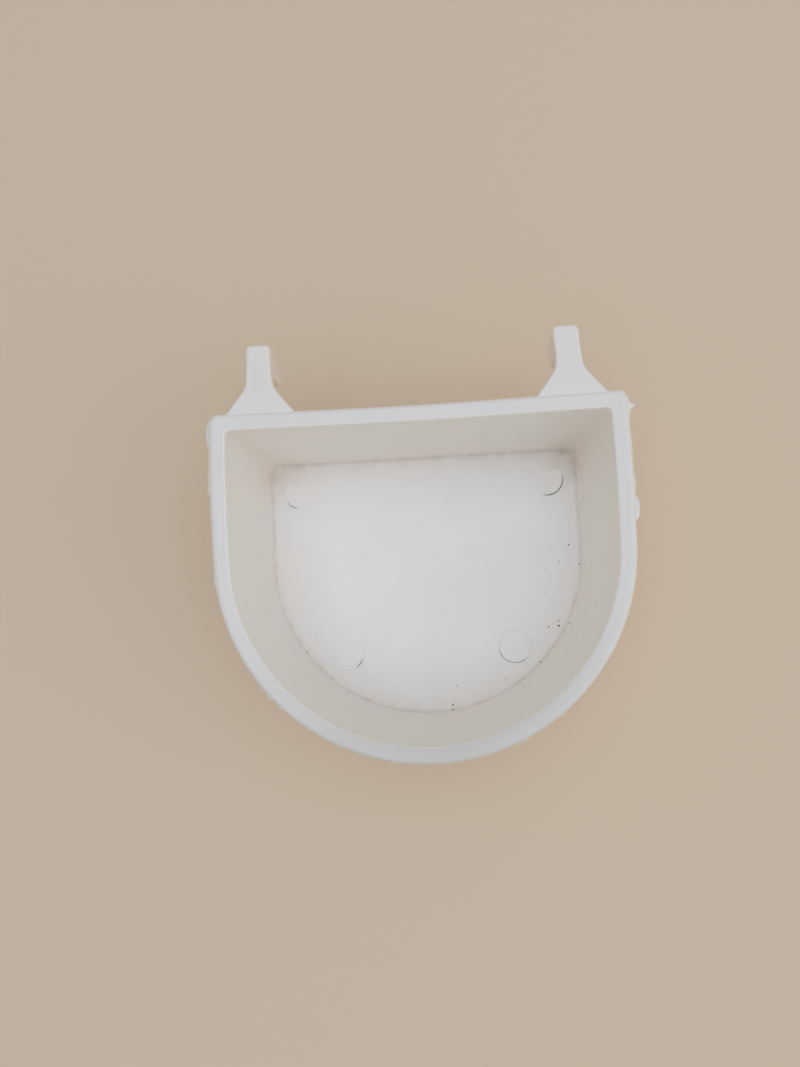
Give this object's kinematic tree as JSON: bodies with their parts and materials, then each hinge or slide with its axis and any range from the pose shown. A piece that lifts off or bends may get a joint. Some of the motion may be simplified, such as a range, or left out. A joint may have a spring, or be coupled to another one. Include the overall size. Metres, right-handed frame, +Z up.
{
  "type": "seed cup",
  "caption": "D-shaped white plastic seed cup with a flat back, a round front, a thick rounded rim and rigid hooks that hang it on cage wire.",
  "frame": {"origin": "on the underside, on the axis of the round front", "axes": "+X to the right, +Y to the flat back with the hooks, +Z up out of the mouth"},
  "size_m": [0.09, 0.0913, 0.038],
  "materials": {
    "white_plastic": "waxy moulded polyethylene, satin"
  },
  "bodies": {
    "root": {"cup_floor": "white_plastic", "curved_wall": "white_plastic", "back_wall": "white_plastic", "rim": "white_plastic", "left_hook_arm": "white_plastic", "left_hook_leg": "white_plastic", "right_hook_arm": "white_plastic", "right_hook_leg": "white_plastic"}
  },
  "joints": []
}
